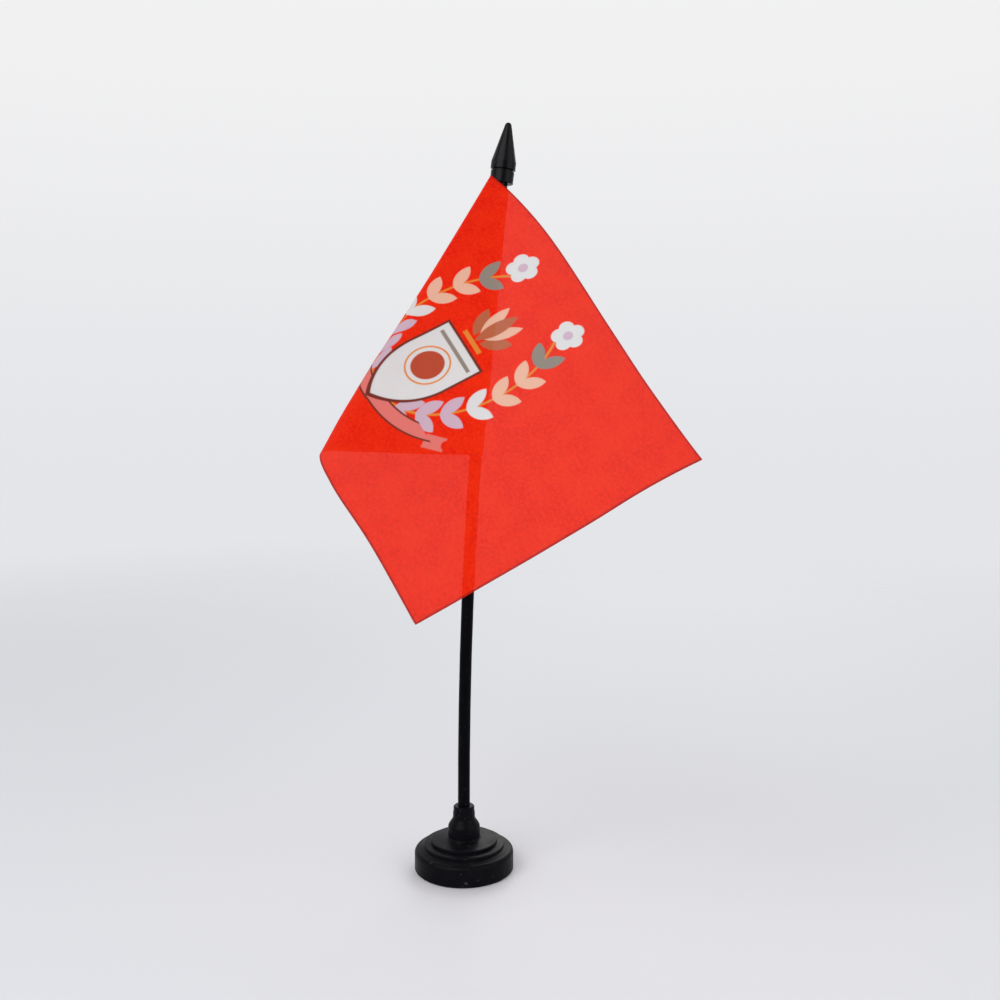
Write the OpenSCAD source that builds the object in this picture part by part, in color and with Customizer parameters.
// Desk flag stand: a round moulded foot, a slim pole bent a little to one side,
// a cone finial and a small cloth flag that folds round in front of the pole.
// Millimetres, +Z up. The origin is the centre of the foot, on the table.
// The pole leans to +X, and the fly of the flag comes forward, to -Y.

/* [Foot] */
// Diameter of the foot at the table
foot_d = 38; // [37:0.5:41]
// Height of the upright rim of the foot
rim_h = 6.4; // [5.5:0.1:7]
// Wall thickness of the moulding
wall = 1.8; // [1.4:0.1:2]
// Height of the top of the socket above the table
socket_top = 24.6; // [24:0.1:28]
// Outer diameter of the socket collar
socket_d = 8.4; // [8:0.1:9]
// Depth of the socket
socket_depth = 18; // [12:0.5:19]
// Number of stiffening ribs under the dome
rib_count = 6; // [4:1:10]

/* [Pole] */
// Diameter of the pole
pole_d = 4.6; // [4.4:0.1:4.7]
// Radius that the bent stretch of the pole follows
bend_r = 1900; // [1600:50:6000]
// Length of the bent stretch, along its centre line
bend_len = 233.7; // [200:0.1:250]
// Diameter of the peg at its foot, which stands in the socket
peg_d = 4.4; // [4:0.1:4.4]
// Radial clearance of the peg in its socket and of the spigot in the finial
clearance = 0.05; // [0.02:0.01:0.1]

/* [Finial] */
// Length of the finial
finial_len = 21.7; // [20:0.1:26]
// Diameter of the collar at its foot
collar_d = 8.6; // [7.4:0.1:8.7]
// Height of the collar
collar_h = 4.4; // [3:0.1:6]
// Diameter of the cylinder between the groove and the cone
lip_d = 9.2; // [8.8:0.1:9.6]
// Height of that cylinder
lip_h = 2.6; // [1:0.1:4]
// Diameter of the spigot on the pole's end that the finial sits on
spigot_d = 3.2; // [2.8:0.1:3.6]
// Length of that spigot
spigot_len = 7; // [5:0.5:8]

/* [Flag] */
// Height of the cloth, along the pole
flag_h = 100; // [90:1:110]
// Length of the cloth from the sleeve's seam to the fly
flag_w = 140; // [130:1:150]
// Thickness of the cloth
cloth_t = 0.4; // [0.3:0.05:0.45]
// Gap between the finial and the top of the sleeve
sleeve_gap = 0.8; // [0.5:0.1:4]
// Height of the cloth's top corner above the top of the sleeve
corner_rise = 1.9; // [0:0.1:3]
// Inner diameter of the sleeve
sleeve_bore = 5.6; // [5.5:0.1:6]
// Distance of the seam, where the cloth leaves the sleeve, from the sleeve's axis
seam_offset = 4.8; // [4.8:0.1:8]
// Spacing of the stitches along the seam
stitch_pitch = 4; // [3:0.5:6]

/* [Drape] */
// Direction in which the cloth leaves the sleeve, turned from +X towards +Y
leave_azimuth = 239; // [225:1:245]
// Height above the cloth's top corner of the point where its rulings meet
apex_rise = 3.2; // [3.2:0.1:12]
// Sharpness of the fold that brings the cloth round in front of the pole
fold_curl = 13; // [9:0.1:13]

/* [Hidden] */
$fn = 96;

black = [0.06, 0.06, 0.07];
red = [0.86, 0.13, 0.08];
thread_red = [0.66, 0.08, 0.05];
overcut = 0.5;

// Foot: the rings on the dome, outermost first, each as [radius, height of its edge]
foot_r = foot_d / 2;
rings = [[foot_r - 3.5, 10], [foot_r - 6.2, 11.5]];
ring_rise = 1.2;
ring_round = 0.4;
shoulder_r = 1.7;
edge_bevel = 0.4;
boss_r = 4.4;
rib_t = 1.2;
rib_lift = 0.8;
bore_r = peg_d / 2 + clearance;

// The neck, and the flare that narrows it to the socket's collar
neck_r = 6.1;
neck_foot = 12.2;
neck_fillet = 0.5;
neck_top = 16.4;
collar_foot = 20.4;
mouth_foot = 22.4;
mouth_step = 0.2;
mouth_bevel = 0.4;

// Pole: its peg is straight, and the bend starts just above the socket
peg_foot = socket_top - socket_depth;
peg_bevel = 0.4;
bend_foot = socket_top + 0.2;
core_overlap = 2;
spigot_bevel = 0.3;
lean = bend_len / bend_r * 180 / PI;
function pole_at(s) =
    let (a = s / bend_r * 180 / PI)
    [bend_r * (1 - cos(a)), 0, bend_foot + bend_r * sin(a)];

// Finial: its point is a ball, and a groove parts the collar from the cylinder above
tip_r = 1.25;
collar_bevel = 0.3;
groove_depth = 0.35;
groove_h = 0.6;
cone_foot = collar_h + groove_h + lip_h;
cone_slope = atan((lip_d / 2 - tip_r) / (finial_len - tip_r - cone_foot));
spigot_play = 0.3;

// Sleeve: its axis is straight, so it lies halfway between the bent pole's ends and middle
sleeve_len = flag_h - corner_rise;
sleeve_end = bend_len - sleeve_gap;
sleeve_lean = (sleeve_end - sleeve_len / 2) / bend_r * 180 / PI;
pole_bow = sleeve_len * sleeve_len / (8 * bend_r);
sleeve_t = 0.5;
seam_t = 2 * cloth_t;
stitch_len = 2.6;
stitch_w = 0.35;
stitch_t = 0.2;

// Cloth: one developable sheet. Its rulings fan out from a point above the hoist, and
// each entry is [degrees of the fan, curl]: curl 0 is flat, and a positive curl turns
// the cloth towards the sleeve's +Y. The last entry runs on to the fly.
bends = [[27.9, -1.17], [10.3, fold_curl], [16, 0.1], [21.4, -0.35], [90, 1.5]];
ruling_step = 1.5;

// The unit vector v turned by angle a about the unit axis w
function turned(v, w, a) = v * cos(a) + cross(w, v) * sin(a) + w * (w * v) * (1 - cos(a));

// [ruling, direction across it, normal] after a of the fan at one curl
function swept(frame, curl, a) =
    let (w = (frame[2] - curl * frame[0]) / norm([1, curl]))
    [for (v = frame) turned(v, w, a * norm([1, curl]))];

// The same three directions at angle a of the fan from the hoist
function ruling(a, frame = [[0, 0, -1], [1, 0, 0], [0, -1, 0]], i = 0) =
    a <= bends[i][0] || i == len(bends) - 1
        ? swept(frame, bends[i][1], a)
        : ruling(a - bends[i][0], swept(frame, bends[i][1], bends[i][0]), i + 1);

// Outline of the foot's outer surface, from the table up to the socket's mouth
function shoulder(n) = [for (i = [0:n]) let (a = 90 * i / n)
    [foot_r - shoulder_r * (1 - cos(a)), rim_h + shoulder_r * sin(a)]];
function ring_edge(r, h) = concat(
    [[r, h - ring_rise]],
    [for (a = [0:30:90]) [r - ring_round * (1 - cos(a)), h - ring_round * (1 - sin(a))]]);
function flare(n) = [for (i = [0:n]) let (share = (1 + cos(180 * i / n)) / 2)
    [socket_d / 2 + (neck_r - socket_d / 2) * share,
     neck_top + (collar_foot - neck_top) * i / n]];
mouth_r = socket_d / 2 - mouth_step;
foot_outline = concat(
    [[0, 0], [foot_r - edge_bevel, 0], [foot_r, edge_bevel]],
    shoulder(6),
    [for (ring = rings) each ring_edge(ring[0], ring[1])],
    [[neck_r + neck_fillet, neck_foot], [neck_r, neck_foot + neck_fillet]],
    flare(6),
    [[socket_d / 2, mouth_foot - mouth_step], [mouth_r, mouth_foot],
     [mouth_r, socket_top - mouth_bevel], [mouth_r - mouth_bevel, socket_top],
     [0, socket_top]]);

// Outline of the hollow under the dome, outside the middle boss
hollow_inset = 0.8;
hollow_top = rings[1][1] - ring_rise - wall;
foot_hollow = concat(
    [[boss_r, -overcut], [foot_r - wall, -overcut], [foot_r - wall, rim_h - hollow_inset]],
    [for (ring = rings) [ring[0] - hollow_inset, ring[1] - ring_rise - wall]],
    [[boss_r, hollow_top]]);

module foot() {
    color(black)
    difference() {
        rotate_extrude() polygon(foot_outline);
        difference() {
            rotate_extrude() polygon(foot_hollow);
            for (i = [0:rib_count - 1])
                rotate([0, 0, 360 * i / rib_count])
                translate([0, -rib_t / 2, rib_lift])
                cube([foot_r, rib_t, socket_top]);
        }
        translate([0, 0, peg_foot]) cylinder(r = bore_r, h = socket_depth + overcut);
    }
}

module bevelled_rod(d, h, bevel) {
    cylinder(d = d, h = h - bevel);
    translate([0, 0, h - bevel]) cylinder(d1 = d, d2 = d - 2 * bevel, h = bevel);
}

module pole() {
    peg_len = bend_foot + core_overlap - peg_foot;
    color(black)
    union() {
        translate([0, 0, peg_foot + peg_len]) mirror([0, 0, 1])
            bevelled_rod(peg_d, peg_len, peg_bevel);
        translate([bend_r, 0, bend_foot])
            rotate([90, 0, 0])
            rotate([0, 0, 180 - lean])
            rotate_extrude(angle = lean)
            translate([bend_r, 0])
            circle(d = pole_d);
        on_pole_end()
            translate([0, 0, -core_overlap])
            bevelled_rod(spigot_d, core_overlap + spigot_len, spigot_bevel);
    }
}

// Puts a child's origin on the shoulder at the pole's end, with its Z along the pole
module on_pole_end() {
    translate(pole_at(bend_len)) rotate([0, lean, 0]) children();
}

// Puts a child's origin at the top of the sleeve, with Z up the sleeve and X towards
// the seam
module on_sleeve() {
    translate(pole_at(sleeve_end))
    rotate([0, sleeve_lean, 0])
    translate([-pole_bow / 2, 0, 0])
    rotate([0, 0, leave_azimuth])
    children();
}

// Finial: a turned outline with a rounded point, from the collar's foot up
finial_outline = concat(
    [[0, 0], [collar_d / 2 - collar_bevel, 0], [collar_d / 2, collar_bevel],
     [collar_d / 2, collar_h - groove_depth / 2],
     [collar_d / 2 - groove_depth, collar_h],
     [collar_d / 2 - groove_depth, collar_h + groove_h / 2],
     [lip_d / 2, collar_h + groove_h], [lip_d / 2, cone_foot]],
    [for (a = [cone_slope:(90 - cone_slope) / 6:89.9])
        [tip_r * cos(a), finial_len - tip_r + tip_r * sin(a)]],
    [[0, finial_len]]);

module finial() {
    color(black)
    on_pole_end()
    difference() {
        rotate_extrude() polygon(finial_outline);
        translate([0, 0, -overcut])
            cylinder(d = spigot_d + 2 * clearance, h = spigot_len + spigot_play + overcut);
    }
}

module flag_sleeve() {
    color(red)
    on_sleeve()
    translate([0, 0, -sleeve_len])
    linear_extrude(sleeve_len)
    difference() {
        union() {
            circle(d = sleeve_bore + 2 * sleeve_t);
            translate([0, -seam_t / 2]) square([seam_offset, seam_t]);
        }
        circle(d = sleeve_bore);
    }
}

module sleeve_stitching() {
    stitch_x = (sleeve_bore / 2 + sleeve_t + seam_offset - stitch_w) / 2;
    color(thread_red)
    on_sleeve()
    for (z = [-sleeve_len + 1:stitch_pitch:-stitch_pitch])
        for (face = [-seam_t / 2 - stitch_t, seam_t / 2])
            translate([stitch_x, face, z])
            cube([stitch_w, stitch_t, stitch_len]);
}

// Cloth: each ruling runs from the top edge to the bottom edge or to the fly
fly_angle = atan2(flag_w, apex_rise);
corner_angle = atan2(flag_w, apex_rise + flag_h);
steps_low = ceil(corner_angle / ruling_step);
steps_high = ceil((fly_angle - corner_angle) / ruling_step);
fan = concat(
    [for (i = [0:steps_low]) corner_angle * i / steps_low],
    [for (i = [1:steps_high - 1]) corner_angle + (fly_angle - corner_angle) * i / steps_high]);
function ruling_end(a) =
    a <= corner_angle ? (apex_rise + flag_h) / cos(a) : flag_w / sin(a);
apex = [seam_offset, 0, corner_rise + apex_rise];
function cloth_point(a, reach, side) =
    let (f = ruling(a))
    apex + f[0] * reach + f[2] * side * cloth_t / 2;
function cloth_face(side) = concat(
    [for (a = fan) each [cloth_point(a, apex_rise / cos(a), side),
                         cloth_point(a, ruling_end(a), side)]],
    [cloth_point(fly_angle, apex_rise / cos(fly_angle), side)]);

module flag_cloth() {
    n = len(fan);
    back = 2 * n + 1;
    tip = 2 * n;
    points = concat(cloth_face(1), cloth_face(-1));
    front_faces = concat(
        [for (i = [0:n - 2]) [2 * i, 2 * i + 1, 2 * i + 3, 2 * i + 2]],
        [[2 * n - 2, 2 * n - 1, tip]]);
    back_faces = [for (f = front_faces) [for (j = [len(f) - 1:-1:0]) f[j] + back]];
    rim = concat(
        [for (i = [0:n - 1]) 2 * i],
        [tip],
        [for (i = [n - 1:-1:0]) 2 * i + 1]);
    rim_faces = [for (i = [0:len(rim) - 1])
        let (j = (i + 1) % len(rim))
        [rim[i], rim[j], rim[j] + back, rim[i] + back]];
    color(red)
    on_sleeve()
    polyhedron(points, concat(front_faces, back_faces, rim_faces), convexity = 6);
}

foot();
pole();
finial();
flag_cloth();
flag_sleeve();
sleeve_stitching();
